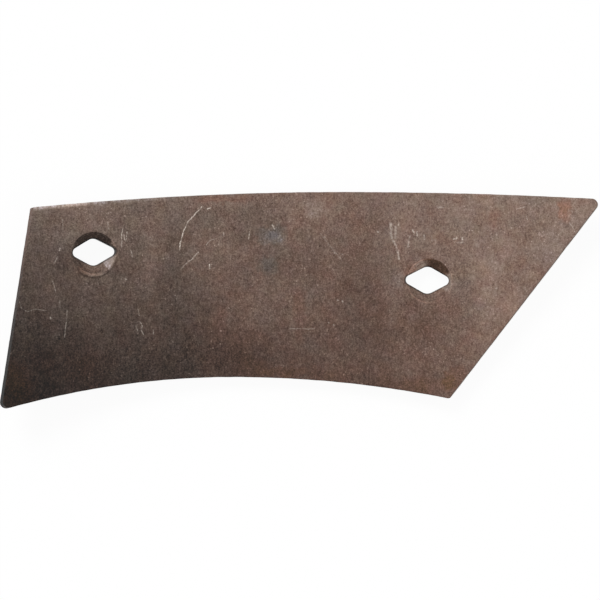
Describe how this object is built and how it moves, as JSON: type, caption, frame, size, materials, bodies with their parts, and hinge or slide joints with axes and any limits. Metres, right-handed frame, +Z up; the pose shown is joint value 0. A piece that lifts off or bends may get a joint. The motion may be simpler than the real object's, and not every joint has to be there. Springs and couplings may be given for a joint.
{
  "type": "plough shin",
  "caption": "Bent steel plough shin with an angled point, a square end and countersunk lozenge bolt holes.",
  "frame": {"origin": "middle of the part's box, on the plane that its back rests on", "axes": "+X along the length towards the slanted end, +Y across the width towards the long edge, +Z up out of the working face"},
  "size_m": [0.2976, 0.108, 0.0263],
  "materials": {
    "scaled_steel": "dark brown mill scale with light rust, matt to satin"
  },
  "bodies": {
    "root": {"shin_plate": "scaled_steel"}
  },
  "joints": []
}
